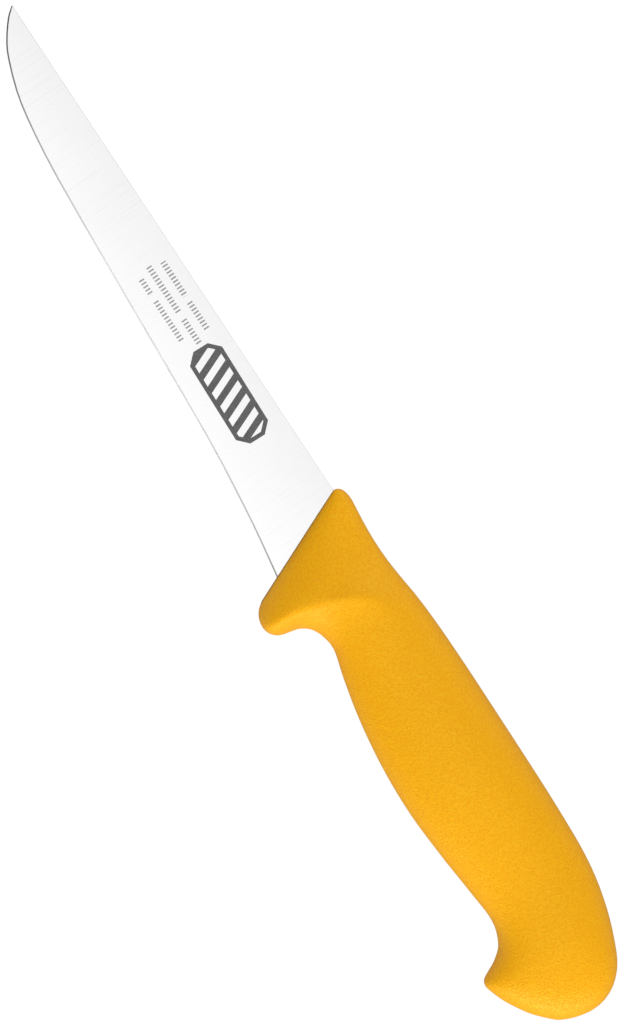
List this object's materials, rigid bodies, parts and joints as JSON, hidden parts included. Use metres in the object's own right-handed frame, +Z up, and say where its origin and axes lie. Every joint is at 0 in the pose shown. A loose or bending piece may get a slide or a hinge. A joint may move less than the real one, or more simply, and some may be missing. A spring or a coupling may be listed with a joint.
{
  "type": "boning knife",
  "caption": "Narrow pointed blade with a tang, held in a moulded handle with a finger guard, finger recesses and a hooked butt.",
  "frame": {"origin": "under the middle of the knife's box, on the surface that the knife lies on", "axes": "+X from the tip of the blade to the butt of the handle, +Y from the cutting edge to the back, +Z up, across the thickness of the knife as it lies on its side"},
  "size_m": [0.288, 0.04, 0.0217],
  "materials": {
    "blade_steel": "finely ground and polished stainless steel",
    "core_plastic": "plain moulded",
    "grip_plastic": "fine spark-eroded grain, yellow"
  },
  "bodies": {
    "root": {"blade": "blade_steel", "handle_core": "core_plastic", "handle_grip": "grip_plastic"}
  },
  "joints": []
}
